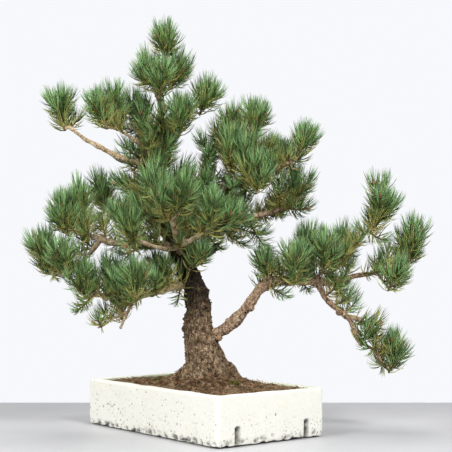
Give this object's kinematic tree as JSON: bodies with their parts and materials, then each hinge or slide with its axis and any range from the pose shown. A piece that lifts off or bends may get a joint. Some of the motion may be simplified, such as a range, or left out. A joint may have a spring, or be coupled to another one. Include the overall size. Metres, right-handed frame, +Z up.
{
  "type": "potted pine bonsai tree",
  "caption": "Pine bonsai with a leaning trunk, a long low side branch and tufts of short needles, planted in a shallow rectangular cast trough.",
  "frame": {"origin": "middle of the trough's flat underside", "axes": "+X along the trough's long side, +Y along its short side, away from the tree's front, +Z up"},
  "size_m": [0.497, 0.5782, 0.7163],
  "materials": {
    "pot_stone": "matte",
    "soil_litter": "matte",
    "moss": "matte",
    "trunk_bark": "matte",
    "branch_bark": "matte",
    "needles": "satin"
  },
  "bodies": {
    "root": {"pot": "pot_stone", "soil": "soil_litter", "moss_front": "moss", "moss_back": "moss", "trunk": "trunk_bark", "lower_right_branch": "branch_bark", "lower_left_branch": "branch_bark", "middle_left_branch": "branch_bark", "front_branch": "branch_bark", "middle_right_branch": "branch_bark", "upper_right_branch": "branch_bark", "upper_left_branch": "branch_bark", "upper_left_spur": "branch_bark", "back_left_branch": "branch_bark", "back_right_branch": "branch_bark", "apex_tip_tuft": "needles", "apex_left_tuft": "needles", "apex_right_tuft": "needles", "apex_front_tuft": "needles", "crown_right_tuft": "needles", "crown_middle_tuft": "needles", "crown_back_tuft": "needles", "crown_rear_tuft": "needles", "upper_left_tip_tuft": "needles", "upper_left_outer_tuft": "needles", "upper_left_inner_tuft": "needles", "upper_right_peak_tuft": "needles", "upper_right_rear_tuft": "needles", "upper_right_inner_tuft": "needles", "upper_right_tip_tuft": "needles", "upper_right_back_tuft": "needles", "upper_right_front_tuft": "needles", "middle_right_tip_tuft": "needles", "front_left_tuft": "needles", "front_middle_tuft": "needles", "front_right_tuft": "needles", "front_far_right_tuft": "needles", "front_far_left_tuft": "needles", "trunk_side_tuft": "needles", "middle_left_tip_tuft": "needles", "middle_left_upper_tuft": "needles", "back_left_tip_tuft": "needles", "back_left_inner_tuft": "needles", "back_right_inner_tuft": "needles", "back_right_tip_tuft": "needles", "middle_left_outer_tuft": "needles", "middle_left_front_tuft": "needles", "lower_left_tip_tuft": "needles", "lower_left_middle_tuft": "needles", "lower_left_front_tuft": "needles", "lower_left_inner_tuft": "needles", "right_hanging_tuft": "needles", "right_top_tuft": "needles", "right_end_tuft": "needles", "right_pad_left_tuft": "needles", "right_pad_front_tuft": "needles", "right_pad_right_tuft": "needles", "right_low_front_tuft": "needles", "right_inner_tuft": "needles", "right_small_tuft": "needles"}
  },
  "joints": []
}
